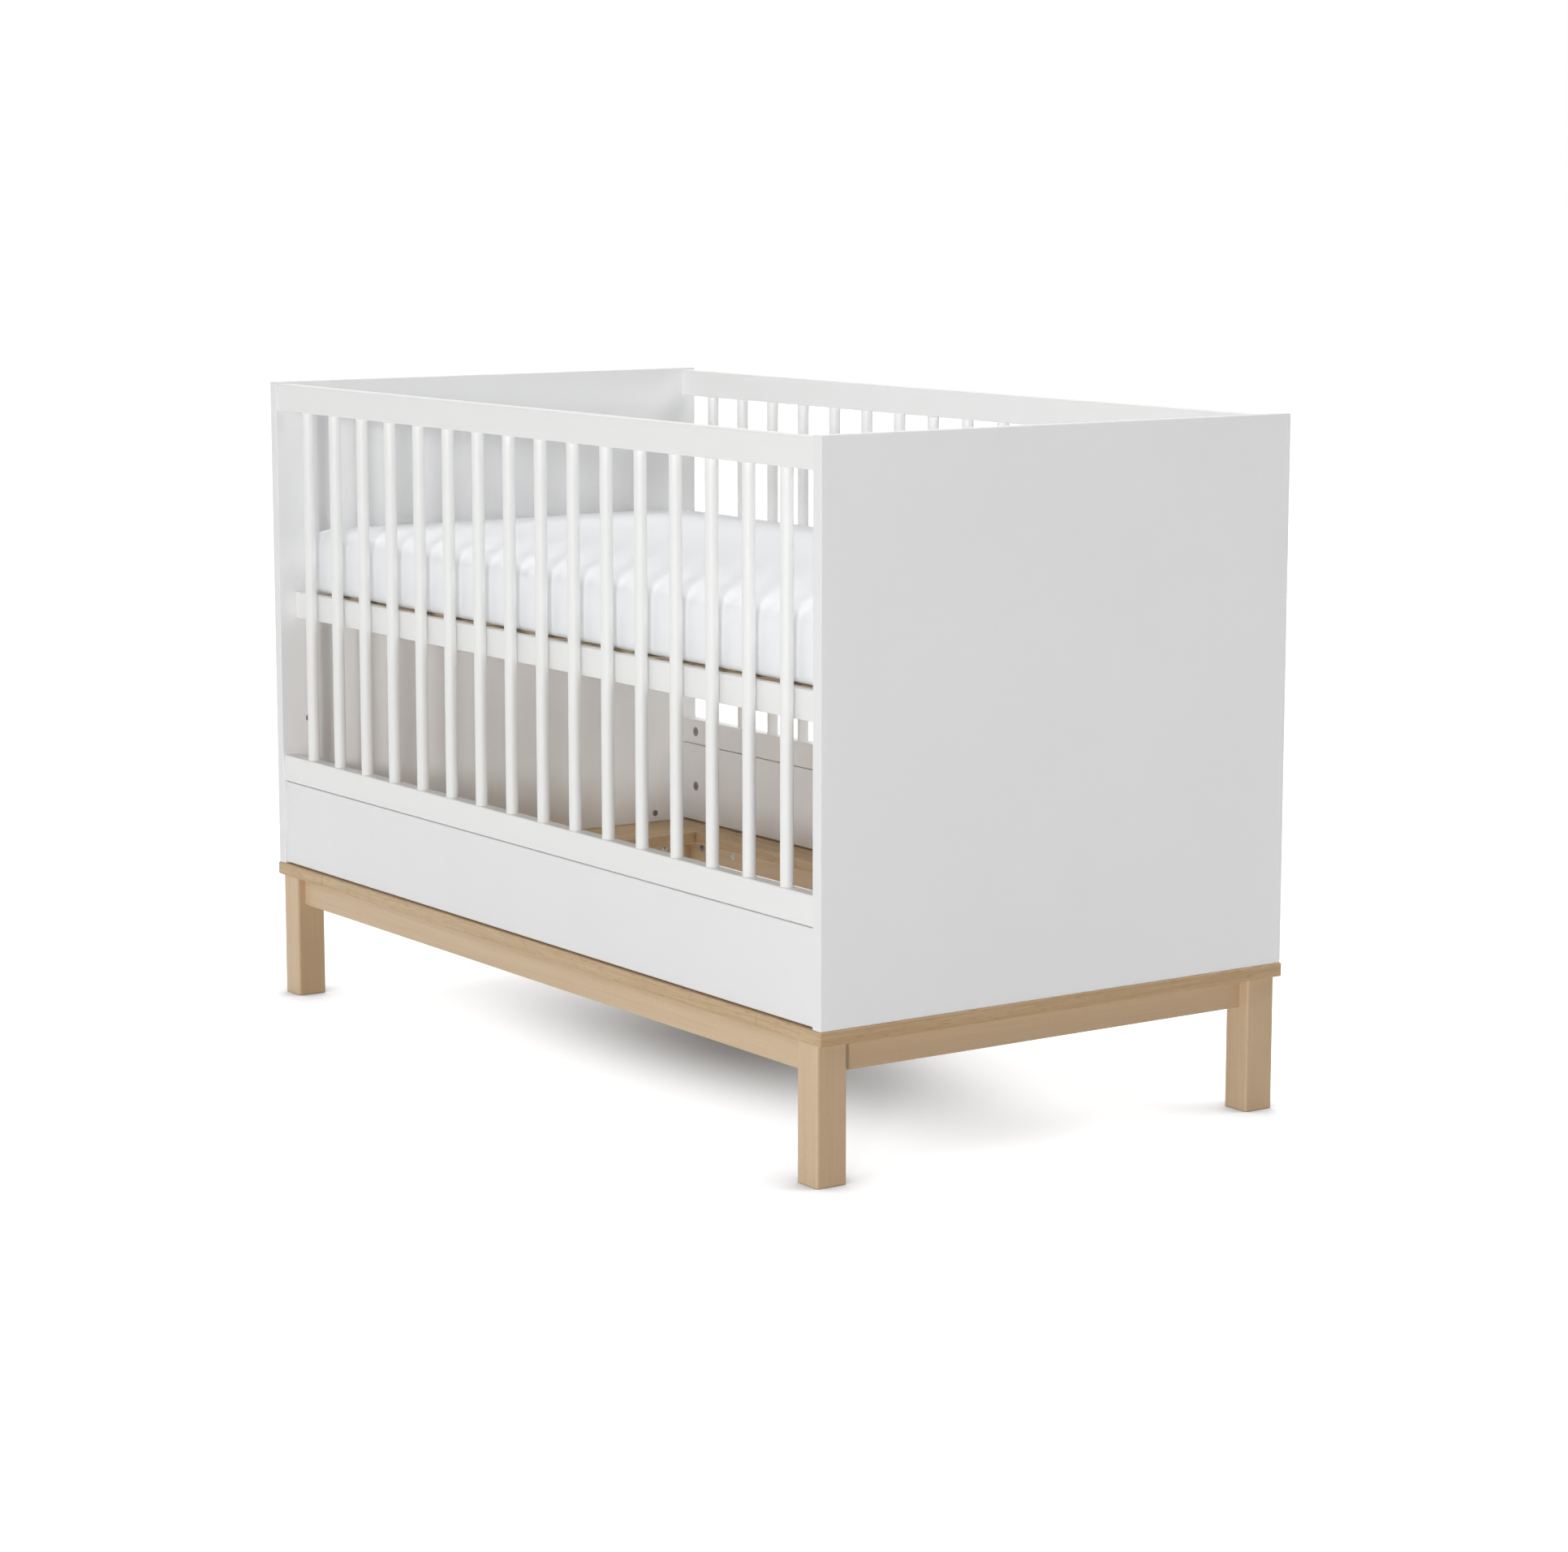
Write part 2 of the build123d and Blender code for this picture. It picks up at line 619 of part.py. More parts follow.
for side, sy in SIDES.items():
    with BuildPart() as base_side_rail:
        with Locations((0, sy * base_rail_y, base_bolt_row)):
            Box(2 * base_inner_end, base_side_rail_thickness, base_rail_height)
        fillet(base_side_rail.edges().filter_by(Axis.X), base_edge_radius)
        for ex in (-1, 1):
            corners = [(ex * base_inner_end, sy * base_rail_y, level) for level in corner_rows]
            drill(facing(corners, (ex, 0, 0)), screw_diameter, corner_screw_hole)
        ledger_seats = [(x, sy * base_inner_side, ledger_mid) for x in ledger_screw_row]
        drill(facing(ledger_seats, (0, -sy, 0)), screw_diameter, ledger_screw_hole)
    save(base_side_rail, f"mattress_base_side_rail_{side}")

    with BuildPart() as ledger:
        with Locations((0, sy * ledger_y, ledger_mid)):
            Box(ledger_length, ledger_size, ledger_size)
        sunk_holes(ledger_screw_places(sy), screw_diameter, screw_head_diameter, 2 * ledger_size)
        slat_seats = [(x, sy * ledger_y) for x in slat_row]
        drill(upward(slat_seats, ledger_mid + ledger_size / 2), screw_diameter, slat_screw_hole)
    save(ledger, f"mattress_base_ledger_{side}")

slat_length = 2 * (base_inner_side - slat_end_gap)
for index, x in enumerate(slat_row, start=1):
    with BuildPart() as slat:
        with Locations((x, 0, slat_mid)):
            Box(slat_width, slat_length, slat_thickness)
        fillet(slat.edges().filter_by(Axis.Y), slat_edge_radius)
        slat_holes = upward([(x, -ledger_y), (x, ledger_y)], base_rail_top)
        sunk_holes(slat_holes, screw_diameter, screw_head_diameter, 2 * slat_thickness)
    save(slat, f"slat_{index:02d}")

# Screws of the mattress base
wood_screw = (screw_socket_width, screw_socket_depth)
with BuildPart() as slat_screws:
    places = upward([(x, sy * ledger_y) for x in slat_row for sy in (-1, 1)], base_rail_top)
    sunk_screws(places, screw_diameter, screw_head_diameter, slat_screw_length, *wood_screw)
save(slat_screws, "slat_screws")

with BuildPart() as corner_screws:
    places = corner_places(-1) + corner_places(1)
    sunk_screws(places, screw_diameter, screw_head_diameter, corner_screw_length, *wood_screw)
save(corner_screws, "corner_screws")

with BuildPart() as ledger_screws:
    places = ledger_screw_places(-1) + ledger_screw_places(1)
    sunk_screws(places, screw_diameter, screw_head_diameter, ledger_screw_length, *wood_screw)
save(ledger_screws, "ledger_screws")

# Height bolts, drawn back until their tips are inside the end rails
height_bolt_length = base_end_rail_thickness + base_gap_x + height_bolt_reach
height_bolt_seat = base_end - height_bolt_tip_gap - height_bolt_length
height_bolt_head = height_bolt_seat - bolt_head_height
for end, ex in ENDS.items():
    for side, sy in SIDES.items():
        seat = facing([(ex * height_bolt_seat, sy * height_bolt_y, base_bolt_row)], (-ex, 0, 0))
        head = facing([(ex * height_bolt_head, sy * height_bolt_y, base_bolt_row)], (-ex, 0, 0))
        with BuildPart() as height_bolt:
            rods(seat, bolt_diameter, height_bolt_length)
            with Locations(*seat):
                Cylinder(bolt_head_diameter / 2, bolt_head_height, align=ABOVE)
            sockets(head, socket_width, socket_depth)
        save(height_bolt, f"height_bolt_{side}_{end}")

# Mattress: drawn-in sides, rounded edges and a low crown both ways
half_length = base_end - mattress_end_gap
half_width = base_side - mattress_side_gap
crown_top = mattress_edge_height + mattress_crown


def crowned_section(plane, half, reach):
    """Keep what lies in a section that is flat below, straight at its sides and crowned on top."""
    with BuildSketch(plane) as section:
        with BuildLine():
            Polyline((-half, mattress_edge_height), (-half, 0), (half, 0), (half, mattress_edge_height))
            ThreePointArc((half, mattress_edge_height), (0, crown_top), (-half, mattress_edge_height))
        make_face()
        fillet(section.vertices().group_by(Axis.Y)[0], mattress_bottom_radius)
        fillet(section.vertices().group_by(Axis.Y)[-1], mattress_top_radius)
    extrude(section.sketch, amount=reach, both=True, mode=Mode.INTERSECT)


with BuildPart() as mattress:
    with BuildSketch(Plane.XY.offset(mattress_bottom)) as outline:
        with BuildLine():
            for sy in (-1, 1):
                ends = [(-half_length, sy * half_width), (half_length, sy * half_width)]
                ThreePointArc(ends[0], (0, sy * (half_width - mattress_draw_in)), ends[1])
            for ex in (-1, 1):
                ends = [(ex * half_length, -half_width), (ex * half_length, half_width)]
                ThreePointArc(ends[0], (ex * (half_length - mattress_draw_in), 0), ends[1])
        make_face()
        fillet(outline.vertices(), mattress_corner_radius)
    extrude(amount=crown_top)
    foot = (0, 0, mattress_bottom)
    crowned_section(Plane(origin=foot, x_dir=(0, 1, 0), z_dir=(1, 0, 0)), half_width, 2 * half_length)
    crowned_section(Plane(origin=foot, x_dir=(1, 0, 0), z_dir=(0, -1, 0)), half_length, 2 * half_width)
save(mattress, "mattress")
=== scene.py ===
import json
import math

import bmesh
import bpy
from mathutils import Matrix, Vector


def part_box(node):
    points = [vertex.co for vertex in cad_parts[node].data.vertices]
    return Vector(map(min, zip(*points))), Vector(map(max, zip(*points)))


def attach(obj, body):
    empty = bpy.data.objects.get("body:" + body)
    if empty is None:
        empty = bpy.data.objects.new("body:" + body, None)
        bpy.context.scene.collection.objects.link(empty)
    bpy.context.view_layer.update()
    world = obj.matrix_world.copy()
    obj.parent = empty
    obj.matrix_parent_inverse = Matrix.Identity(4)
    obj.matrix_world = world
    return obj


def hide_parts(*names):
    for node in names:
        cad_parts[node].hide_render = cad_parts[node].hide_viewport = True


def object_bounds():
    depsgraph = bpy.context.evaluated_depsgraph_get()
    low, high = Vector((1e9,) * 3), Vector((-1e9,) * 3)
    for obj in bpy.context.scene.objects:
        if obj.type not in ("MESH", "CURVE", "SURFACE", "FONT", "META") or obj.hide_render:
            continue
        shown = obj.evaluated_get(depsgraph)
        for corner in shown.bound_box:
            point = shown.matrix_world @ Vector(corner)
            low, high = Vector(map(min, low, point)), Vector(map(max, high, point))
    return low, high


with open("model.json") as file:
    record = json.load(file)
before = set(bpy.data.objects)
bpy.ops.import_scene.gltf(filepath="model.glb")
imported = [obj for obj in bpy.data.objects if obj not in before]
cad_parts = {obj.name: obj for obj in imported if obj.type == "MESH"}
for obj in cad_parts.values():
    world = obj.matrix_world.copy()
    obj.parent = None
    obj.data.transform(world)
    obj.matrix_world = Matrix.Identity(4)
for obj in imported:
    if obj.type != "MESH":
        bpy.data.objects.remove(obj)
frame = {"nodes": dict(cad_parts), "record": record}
cad_low, cad_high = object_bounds()
nodes = frame["nodes"]

MM = 0.001
AXES = "xyz"
WHITE = (1, 1, 1, 1)

# Camera: its focal length in pixels of the picture's width, its place, and the way that its back is turned
IMAGE_WIDTH = 1932
FOCAL_PIXELS = 4758.6
CAMERA_PLACE = (4.498, -3.030, 1.246)
CAMERA_AZIMUTH = 55.46
CAMERA_ELEVATION = 8.95

# Light: how bright the room is at its brightest place, which way that is, and how far off the lamps are
ROOM_LIGHT = 0.57
ROOM_AZIMUTH = -32
ROOM_ELEVATION = 5
LAMP_DISTANCE = 12

# Floor: its colour where it lights the object, and its colour as seen before its own glow is added
FLOOR_SIZE = 80
FLOOR_COLOUR = (0.895, 0.9, 0.905, 1)
FLOOR_SEEN = (0.49, 0.5, 0.515, 1)

# Shade around each foot: how far it reaches, and the shares of open space where it starts and ends
FOOT_REACH = 0.12
FOOT_FADE = (0.4, 0.95)

# Pool of shade under the object: the radii of an oval as shares of the object's length and depth,
# the shares of a radius where it starts, has its rim and is white, and how bright the rim is
POOL_OVAL = (0.57, 0.42)
POOL_START = 0.02
POOL_RIM = 0.97
POOL_WHITE = 2
POOL_RIM_LIGHT = 0.85

# Warm light that the floor in the pool sends up into the object
BOUNCE_LIGHT = 0.7
BOUNCE_COLOUR = (1, 0.93, 0.88, 1)

# Colours as 0 to 255 display values. A pair holds the two colours that a finish varies between.
BOARD_WHITE = ((242, 242, 243), (246, 246, 246))
LACQUER_WHITE = ((245, 245, 243), (248, 248, 247))
OILED_BEECH = ((222, 197, 164), (212, 185, 151))
RAW_BEECH = ((228, 213, 192), (210, 193, 168))
OILED_OAK = ((214, 187, 150), (190, 158, 118))
OAK_PORES = (140, 108, 74)
# Painted shade that darkens the sides of wood that face left and right
SIDE_SHADE_COLOUR = (155, 117, 71)
ZINC = (176, 177, 178)
STEEL = (166, 168, 172)
KNIT_WHITE = ((247, 248, 250), (251, 252, 253))
# Painted shade in the hollows of the knit
KNIT_HOLLOW_SHADE = (228, 230, 235)

# Finishes: how far wood turns to the painted shade of its sides that face left and right, from where a
# face counts as facing an axis, the range that most of a noise lies in, and the width of a knitted rib
SIDE_SHADE_SHARE = 0.35
FACING = 0.7
NOISE_RANGE = (0.3, 0.7)
KNIT_PITCH = 1.6 * MM

# Mattress: how much smaller it starts, how far its cover may swell and the size of its mesh,
# the rounds of smoothing before and after the swell, and the pressure and frames of the swell
COVER_SHRINK = 3 * MM
COVER_SWELL = 2.8 * MM
COVER_VOXEL = 9 * MM
COVER_ROUNDING = 6
COVER_EVENING = 5
COVER_PRESSURE = 4
COVER_FRAMES = 20


def srgb(colour):
    """A linear colour from its 0 to 255 display values."""
    channels = []
    for value in colour:
        share = value / 255
        channels.append(share / 12.92 if share <= 0.04045 else ((share + 0.055) / 1.055) ** 2.4)
    return (*channels, 1.0)


def darker(colour, share):
    """A colour with only a share of its light."""
    return (*(channel * share for channel in colour[:3]), 1.0)


class Graph:
    """Short ways to add nodes to a shader tree and to feed them."""

    def __init__(self, tree):
        self.tree = tree

    def add(self, kind, settings=None, **inputs):
        """A node with its settings, and its inputs by name, each a value or another node's output."""
        node = self.tree.nodes.new("ShaderNode" + kind)
        for key, value in (settings or {}).items():
            setattr(node, key, value)
        for key, value in inputs.items():
            self.feed(node.inputs[key.replace("_", " ")], value)
        return node

    def feed(self, socket, value):
        """Link another node's output to a socket, or set its value."""
        if isinstance(value, bpy.types.NodeSocket):
            self.tree.links.new(value, socket)
        else:
            socket.default_value = value

    def pair(self, kind, first, second, **settings):
        """A node that works on its first two inputs."""
        node = self.add(kind, settings)
        self.feed(node.inputs[0], first)
        self.feed(node.inputs[1], second)
        return node

    def math(self, operation, first, second=0.0):
        """One arithmetic step."""
        return self.pair("Math", first, second, operation=operation).outputs[0]

    def spread(self, value, low, high, out_low=0.0, out_high=1.0, kind="LINEAR"):
        """A value brought from one range to another and held inside it."""
        ends = {"From_Min": low, "From_Max": high, "To_Min": out_low, "To_Max": out_high}
        return self.add("MapRange", {"interpolation_type": kind}, Value=value, **ends).outputs["Result"]

    def blend(self, share, first, second):
        """A value between two others, with a share of the first."""
        return self.math("ADD", self.math("MULTIPLY", first, share), self.math("MULTIPLY", second, 1 - share))

    def mix(self, share, first, second, kind="RGBA"):
        """A colour or a place between two others, with a share of the second."""
        node = self.add("Mix", {"data_type": kind})
        ends = [socket for socket in node.inputs if socket.type == kind and socket.name != "Factor"]
        self.feed(node.inputs[0], share)
        self.feed(ends[0], first)
        self.feed(ends[1], second)
        return [socket for socket in node.outputs if socket.type == kind][0]

    def seen(self):
        """1 for what the camera sees, straight or in a mirror or glass, and 0 for light on the object."""
        rays = self.add("LightPath").outputs
        mirrored = self.math("MAXIMUM", rays["Is Camera Ray"], rays["Is Glossy Ray"])
        return self.math("MAXIMUM", mirrored, rays["Is Transmission Ray"])


class Surface(Graph):
    """A material while it is made, with its shader and what its finish is worked out from."""

    def __init__(self, name, **values):
        self.material = bpy.data.materials.new(name)
        self.material.use_nodes = True
        super().__init__(self.material.node_tree)
        self.shader = self.tree.nodes["Principled BSDF"]
        for socket, value in values.items():
            self.set(socket.replace("_", " ").title(), value)

    def set(self, socket, value):
        """Feed one of the shader's own sockets."""
        self.feed(self.shader.inputs[socket], value)

    def axes(self):
        """The piece's own X, Y and Z in metres."""
        spot = self.add("TexCoord").outputs["Object"]
        return self.add("SeparateXYZ", Vector=spot).outputs

    def along(self, axis):
        """The piece's own place in metres, with the named axis first."""
        x, y, z = self.axes()
        order = {"x": (x, y, z), "y": (y, x, z), "z": (z, x, y)}[axis]
        return self.add("CombineXYZ", X=order[0], Y=order[1], Z=order[2]).outputs[0]

    def faces(self, axis):
        """1 on the sides of a piece that face along its own X, Y or Z, and 0 on the others."""
        normal = self.add("SeparateXYZ", Vector=self.add("TexCoord").outputs["Normal"])
        return self.math("GREATER_THAN", self.math("ABSOLUTE", normal.outputs[axis]), FACING)

    def noise(self, spot, length, width=None, detail=2.0, distortion=0.0):
        """Noise between 0 and 1 whose spots have a length along the first axis and a width across it."""
        width = width or length
        scaled = self.add("Mapping", Vector=spot, Scale=(1 / length, 1 / width, 1 / width))
        inputs = {"Vector": scaled.outputs[0], "Scale": 1.0, "Detail": detail, "Distortion": distortion}
        return self.add("TexNoise", **inputs).outputs["Fac"]

    def roughen(self, noise, smooth, rough):
        """Roughness between two values, from a noise."""
        self.set("Roughness", self.spread(noise, *NOISE_RANGE, smooth, rough))

    def bump(self, height, depth):
        """Relief of a depth in metres from a height between 0 and 1."""
        relief = self.add("Bump", Height=height, Distance=depth, Strength=1.0)
        self.set("Normal", relief.outputs["Normal"])

    def painted_side_shade(self, colour):
        """The colour of wood with painted shade, darker on the sides that face left and right."""
        # Painted shade: faces along the piece's own X turn toward a darker brown
        share = self.math("MULTIPLY", self.faces("X"), SIDE_SHADE_SHARE)
        return self.mix(share, colour, srgb(SIDE_SHADE_COLOUR))

    def glowing(self, colour, strength, glow=WHITE):
        """A matt colour that sends out light as well."""
        matt = self.add("BsdfDiffuse", Color=colour).outputs[0]
        light = self.add("Emission", Color=glow, Strength=strength).outputs[0]
        return self.pair("AddShader", matt, light).outputs[0]


def white_board():
    """Satin white board, faintly cloudy, with the fine pebble of a sprayed finish."""
    surface = Surface("white_board")
    spot = surface.along("x")
    cloud = surface.noise(spot, length=180 * MM, detail=4)
    pebble = surface.noise(spot, length=1.1 * MM, detail=1)
    surface.set("Base Color", surface.mix(cloud, *map(srgb, BOARD_WHITE)))
    surface.roughen(pebble, smooth=0.36, rough=0.46)
    surface.bump(pebble, depth=0.015 * MM)
    return surface.material


def white_lacquer(axis):
    """White lacquer over wood whose grain just shows through."""
    surface = Surface(f"white_lacquer_{axis}")
    grain = surface.noise(surface.along(axis), length=140 * MM, width=2.4 * MM, detail=3)
    surface.set("Base Color", surface.mix(grain, *map(srgb, LACQUER_WHITE)))
    surface.roughen(grain, smooth=0.3, rough=0.4)
    surface.bump(grain, depth=0.03 * MM)
    return surface.material


def beech(name, axis, colours, roughness):
    """Planed beech: soft growth bands, fine streaks and short dark flecks along the grain."""
    surface = Surface(f"{name}_{axis}")
    light, dark = map(srgb, colours)
    spot = surface.along(axis)
    bands = surface.noise(spot, length=600 * MM, width=18 * MM, detail=2, distortion=0.5)
    streaks = surface.noise(spot, length=110 * MM, width=2.6 * MM, detail=3)
    flecks = surface.noise(spot, length=7 * MM, width=0.9 * MM, detail=1)
    tone = surface.spread(surface.blend(0.6, bands, streaks), low=0.32, high=0.68)
    # Painted shade on the sides that face left and right
    colour = surface.painted_side_shade(surface.mix(tone, light, dark))
    fleck_share = surface.spread(flecks, low=0.64, high=0.76, out_high=0.4)
    surface.set("Base Color", surface.mix(fleck_share, colour, darker(dark, 0.55)))
    surface.roughen(streaks, smooth=roughness - 0.05, rough=roughness + 0.07)
    surface.bump(streaks, depth=0.04 * MM)
    return surface.material


def oak_board(axis):
    """Oiled oak with open pores along the board, and along its front and back edges."""
    surface = Surface(f"oak_board_{axis}")
    light, dark = map(srgb, OILED_OAK)
    spot = surface.mix(surface.faces("Y"), surface.along(axis), surface.along("x"), kind="VECTOR")
    bands = surface.noise(spot, length=420 * MM, width=9 * MM, detail=3, distortion=0.6)
    streaks = surface.noise(spot, length=80 * MM, width=1.9 * MM, detail=3)
    pores = surface.noise(spot, length=22 * MM, width=1.0 * MM, detail=2)
    tone = surface.spread(surface.blend(0.55, bands, streaks), low=0.34, high=0.66)
    # Painted shade on the sides that face left and right
    colour = surface.painted_side_shade(surface.mix(tone, light, dark))
    pore_share = surface.spread(pores, low=0.56, high=0.7, out_high=0.5)
    surface.set("Base Color", surface.mix(pore_share, colour, srgb(OAK_PORES)))
    surface.set("Roughness", surface.spread(pores, low=0.4, high=0.7, out_low=0.45, out_high=0.65))
    surface.bump(surface.math("SUBTRACT", streaks, pore_share), depth=0.08 * MM)
    return surface.material


def metal(name, colour, roughness, grain, depth):
    """Bare or plated metal with an uneven skin."""
    surface = Surface(name, metallic=1.0)
    bright = srgb(colour)
    skin = surface.noise(surface.along("x"), length=grain, detail=3)
    surface.set("Base Color", surface.mix(skin, darker(bright, 0.8), bright))
    surface.roughen(skin, smooth=roughness - 0.08, rough=roughness + 0.1)
    surface.bump(skin, depth)
    return surface.material


def knit_cover():
    """Fine white knit: ribs one way and rows the other, with a soft nap and painted shade in the hollows
    between them.
    """
    surface = Surface("knit_cover", roughness=0.9, sheen_weight=0.2, sheen_roughness=0.5)
    x, y, z = surface.axes()
    turns = 2 * math.pi / KNIT_PITCH
    ribs = surface.math("SINE", surface.math("MULTIPLY", x, turns))
    rows = surface.math("SINE", surface.math("MULTIPLY", surface.math("ADD", y, z), turns))
    knit = surface.spread(surface.math("ADD", ribs, rows), low=-2, high=2)
    cloud = surface.noise(surface.along("x"), length=60 * MM, detail=3)
    plain = surface.mix(cloud, *map(srgb, KNIT_WHITE))
    # Painted shade: the knit's hollows turn toward a darker colour
    hollow_shade_share = surface.spread(knit, low=0, high=0.5, out_low=0.2, out_high=0)
    surface.set("Base Color", surface.mix(hollow_shade_share, plain, srgb(KNIT_HOLLOW_SHADE)))
    surface.bump(knit, depth=0.12 * MM)
    return surface.material


def finishes():
    """The finish of each material slot, by the axis that a piece's grain follows."""
    zinc = metal("cast_zinc", ZINC, roughness=0.45, grain=1.4 * MM, depth=0.04 * MM)
    steel = metal("zinc_plated_steel", STEEL, roughness=0.3, grain=0.8 * MM, depth=0.01 * MM)
    return {
        "white_panel": dict.fromkeys(AXES, white_board()),
        "white_lacquer": {axis: white_lacquer(axis) for axis in AXES},
        "beech": {axis: beech("beech", axis, OILED_BEECH, roughness=0.5) for axis in AXES},
        "raw_beech": {axis: beech("raw_beech", axis, RAW_BEECH, roughness=0.62) for axis in AXES},
        "oak_board": {axis: oak_board(axis) for axis in AXES},
        "cast_zinc": dict.fromkeys(AXES, zinc),
        "zinc_plated_steel": dict.fromkeys(AXES, steel),
    }


def grain_axis(node):
    """The axis that a piece's grain follows: upright in a row of spindles, and else where it is longest."""
    if node.startswith("spindles"):
        return "z"
    low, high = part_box(node)
    size = high - low
    return AXES[max(range(3), key=lambda index: size[index])]


def dress():
    """Give every hard piece of the frame its finish."""
    by_slot = finishes()
    for row in frame["record"]["subparts"]:
        if row["material_slot"] in by_slot:
            node = row["node"]
            nodes[node].data.materials.clear()
            nodes[node].data.materials.append(by_slot[row["material_slot"]][grain_axis(node)])


def scene_object(name, data):
    """A new object in the scene."""
    made = bpy.data.objects.new(name, data)
    bpy.context.scene.collection.objects.link(made)
    return made


def freeze(piece):
    """Keep what a piece's modifiers make as its own mesh."""
    graph = bpy.context.evaluated_depsgraph_get()
    made = bpy.data.meshes.new_from_object(piece.evaluated_get(graph))
    piece.modifiers.clear()
    piece.data = made


def remesh(piece, voxel):
    """Even quads all over a piece."""
    modifier = piece.modifiers.new("even", "REMESH")
    modifier.mode = "VOXEL"
    modifier.voxel_size = voxel
    freeze(piece)


def round_off(piece, rounds):
    """Ease a piece's edges and ripples."""
    modifier = piece.modifiers.new("round", "SMOOTH")
    modifier.factor = 0.5
    modifier.iterations = rounds
    freeze(piece)


def shrink(piece, low, high):
    """Draw a piece in from the sides and top of its box, toward the middle of its underside."""
    seat = Vector(((low.x + high.x) / 2, (low.y + high.y) / 2, low.z))
    share = [1 - 2 * COVER_SHRINK / (high[axis] - low[axis]) for axis in range(3)]
    for vertex in piece.data.vertices:
        vertex.co = seat + Vector(share[axis] * (vertex.co - seat)[axis] for axis in range(3))


def swell(piece):
    """Blow the cover up as cloth, and let no point move further than the swell allows."""
    start = [vertex.co.copy() for vertex in piece.data.vertices]
    cloth = piece.modifiers.new("cover", "CLOTH").settings
    cloth.use_pressure = True
    cloth.uniform_pressure_force = COVER_PRESSURE
    cloth.effector_weights.gravity = 0
    scene = bpy.context.scene
    for step in range(1, COVER_FRAMES + 1):
        scene.frame_set(step)
    freeze(piece)
    scene.frame_set(1)
    for vertex, first in zip(piece.data.vertices, start):
        move = vertex.co - first
        if move.length > COVER_SWELL:
            vertex.co = first + move * (COVER_SWELL / move.length)


def hold_inside(piece, low, high):
    """Bring each point of a piece that is outside a box back to its side."""
    for vertex in piece.data.vertices:
        vertex.co = [min(max(vertex.co[axis], low[axis]), high[axis]) for axis in range(3)]


def mattress():
    """The mattress: a crowned, rounded pad in a snug cover."""
    low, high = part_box("mattress")
    pad = scene_object("mattress_pad", nodes["mattress"].data.copy())
    remesh(pad, COVER_VOXEL)
    round_off(pad, COVER_ROUNDING)
    shrink(pad, low, high)
    swell(pad)
    hold_inside(pad, low, high)
    round_off(pad, COVER_EVENING)
    for face in pad.data.polygons:
        face.use_smooth = True
    pad.modifiers.new("smooth", "SUBSURF").render_levels = 1
    pad.data.materials.clear()
    pad.data.materials.append(knit_cover())
    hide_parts("mattress")
    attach(pad, "mattress")


def toward(azimuth, elevation):
    """The direction from the object to a place at an azimuth from the front and an elevation in degrees."""
    turn, rise = math.radians(azimuth), math.radians(elevation)
    return Vector((math.sin(turn) * math.cos(rise), -math.cos(turn) * math.cos(rise), math.sin(rise)))


def room():
    """A white surround whose light comes from the front and left."""
    world = bpy.data.worlds.new("room")
    bpy.context.scene.world = world
    world.use_nodes = True
    walls = Graph(world.node_tree)
    way = walls.add("TexCoord").outputs["Generated"]
    brightest = toward(ROOM_AZIMUTH, ROOM_ELEVATION)
    side = walls.pair("VectorMath", way, brightest, operation="DOT_PRODUCT").outputs["Value"]
    light = walls.spread(side, low=0, high=1, out_high=ROOM_LIGHT)
    background = walls.tree.nodes["Background"]
    walls.feed(background.inputs["Color"], WHITE)
    walls.feed(background.inputs["Strength"], walls.spread(walls.seen(), low=0, high=1, out_low=light))


def pool_light(finish):
    """0 on the floor under the middle of the object, a little under 1 at the pool's rim and then 1."""
    x, y, z = finish.axes()
    size = cad_high - cad_low
    across = finish.math("DIVIDE", x, size.x * POOL_OVAL[0])
    deep = finish.math("DIVIDE", y, size.y * POOL_OVAL[1])
    squares = finish.math("ADD", finish.math("MULTIPLY", across, across), finish.math("MULTIPLY", deep, deep))
    reach = finish.math("SQRT", squares)
    inside = finish.spread(reach, POOL_START, POOL_RIM, out_high=POOL_RIM_LIGHT, kind="SMOOTHSTEP")
    outside = finish.spread(reach, POOL_RIM, POOL_WHITE, out_high=1 - POOL_RIM_LIGHT)
    return finish.math("ADD", inside, outside)


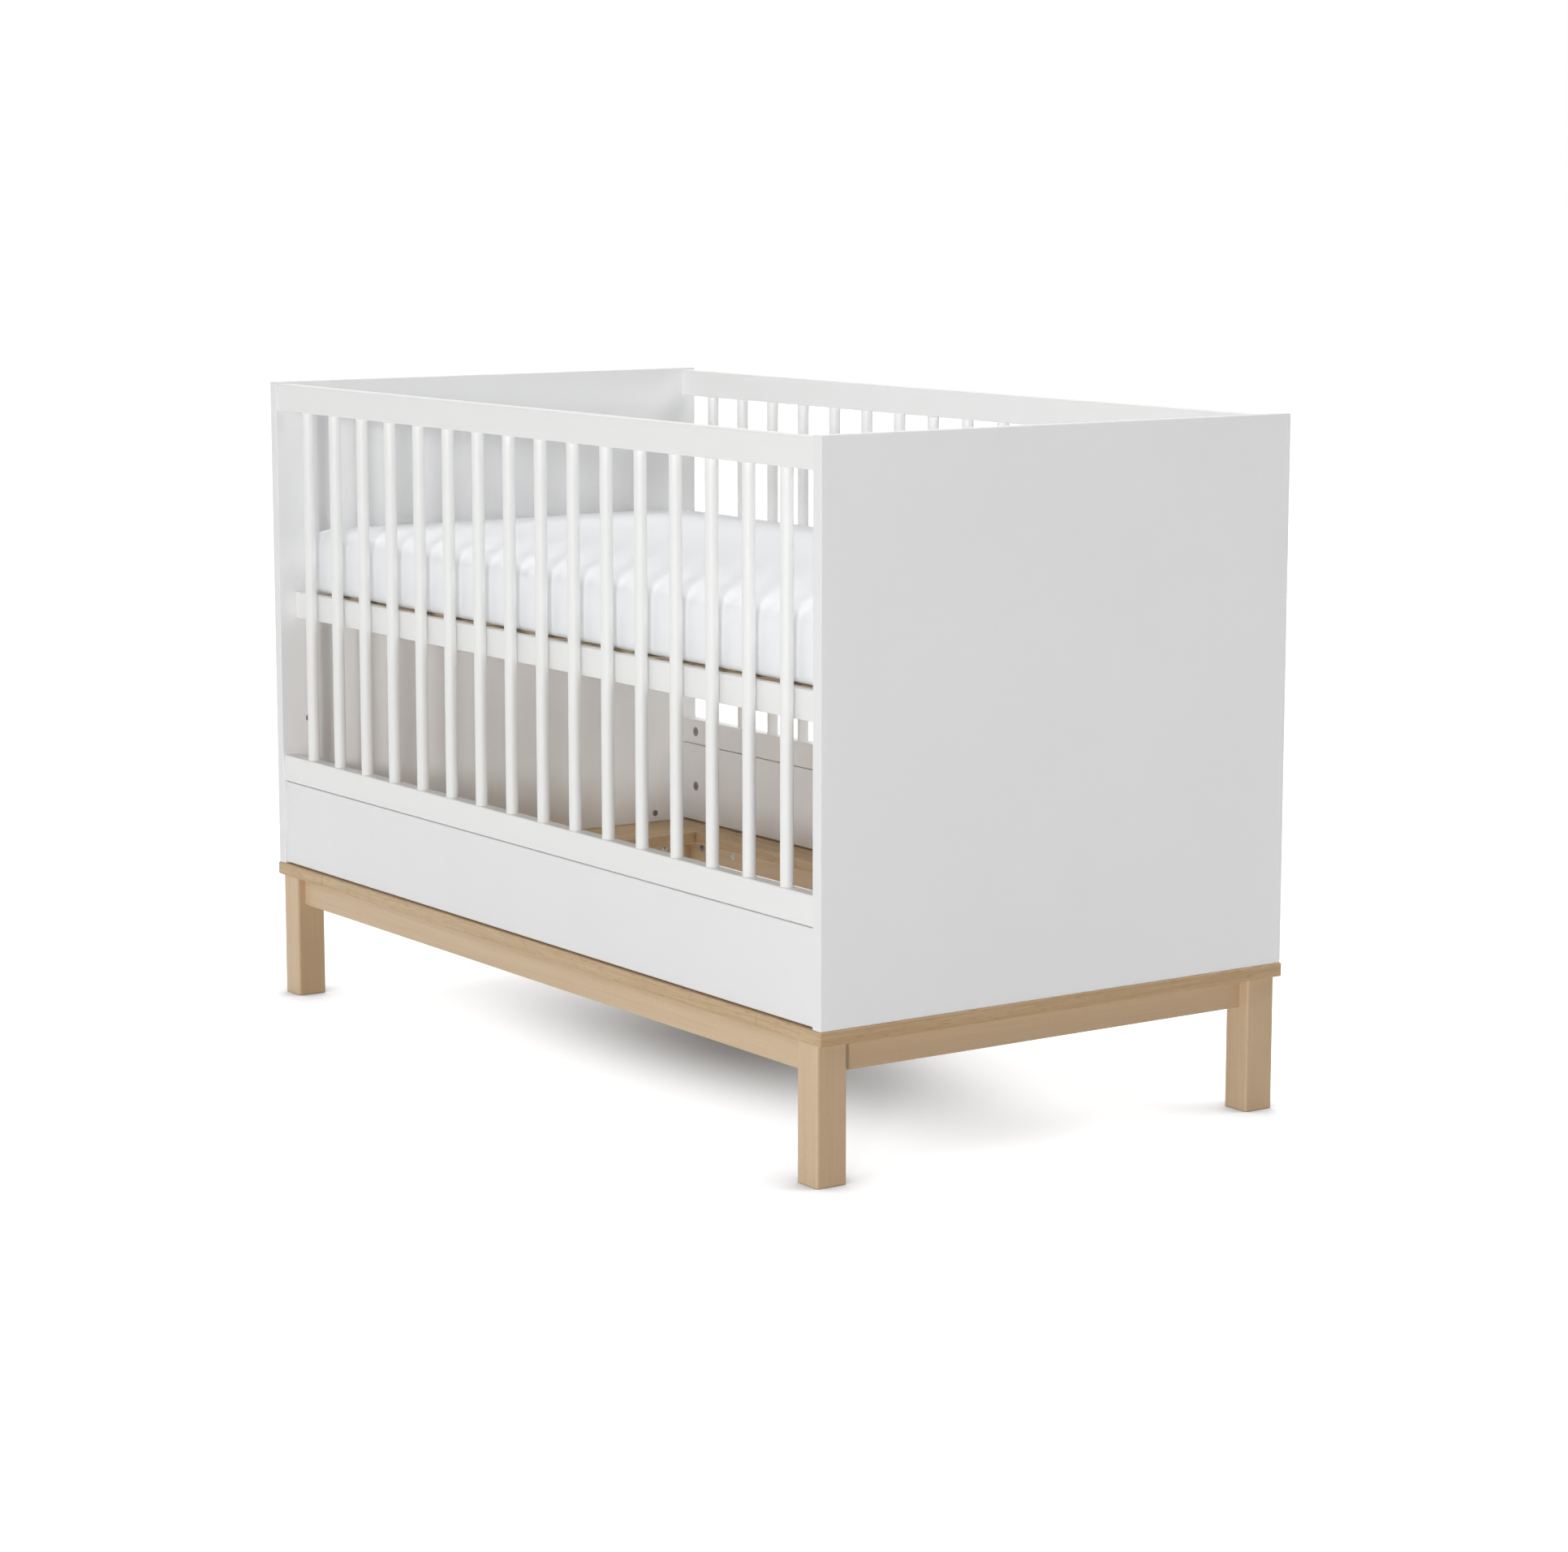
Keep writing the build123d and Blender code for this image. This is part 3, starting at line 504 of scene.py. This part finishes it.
def floor_finish():
    """White away from the object, with its shadow, shade around its feet and a pool of shade under it."""
    finish = Surface("pale_floor")
    pool = pool_light(finish)
    close = finish.add("AmbientOcclusion", {"samples": 4}, Distance=FOOT_REACH).outputs["AO"]
    shade = finish.math("MULTIPLY", finish.spread(close, *FOOT_FADE), pool)
    bounce = finish.spread(pool, low=0, high=POOL_RIM_LIGHT, out_low=BOUNCE_LIGHT, out_high=0)
    either = finish.add("MixShader", Fac=finish.seen())
    finish.feed(either.inputs[1], finish.glowing(FLOOR_COLOUR, bounce, BOUNCE_COLOUR))
    finish.feed(either.inputs[2], finish.glowing(FLOOR_SEEN, shade))
    finish.feed(finish.tree.nodes["Material Output"].inputs["Surface"], either.outputs[0])
    return finish.material


def floor():
    """A pale floor under the object."""
    shape = bmesh.new()
    bmesh.ops.create_grid(shape, x_segments=1, y_segments=1, size=FLOOR_SIZE / 2)
    mesh = bpy.data.meshes.new("floor")
    shape.to_mesh(mesh)
    shape.free()
    mesh.materials.append(floor_finish())
    scene_object("floor", mesh)


def aimed(name, data, place, way):
    """A lamp or camera at a place, with its back to a direction."""
    holder = scene_object(name, data)
    holder.location = place
    holder.rotation_mode = "QUATERNION"
    holder.rotation_quaternion = way.to_track_quat("Z", "Y")
    return holder


def lamp(name, power, azimuth, elevation, size):
    """A soft round lamp at an azimuth from the front and an elevation in degrees, turned to the object."""
    light = bpy.data.lights.new(name, "AREA")
    light.energy = power
    light.shape = "DISK"
    light.size = size
    way = toward(azimuth, elevation)
    aimed(name, light, (cad_low + cad_high) / 2 + way * LAMP_DISTANCE, way)


def lamps():
    """A small low key beside the camera, and three wide lamps above: one in front and two behind."""
    lamp("key", power=523, azimuth=47, elevation=8, size=1.4)
    lamp("front", power=140, azimuth=5, elevation=40, size=6)
    lamp("back_left", power=580, azimuth=-120, elevation=55, size=6)
    lamp("back_right", power=450, azimuth=150, elevation=55, size=6)


def camera():
    """The photograph's point of view."""
    lens = bpy.data.cameras.new("camera")
    lens.lens = lens.sensor_width * FOCAL_PIXELS / IMAGE_WIDTH
    way = toward(CAMERA_AZIMUTH, CAMERA_ELEVATION)
    bpy.context.scene.camera = aimed("camera", lens, CAMERA_PLACE, way)


dress()
mattress()
room()
floor()
lamps()
camera()
bpy.context.scene.view_settings.view_transform = "Standard"
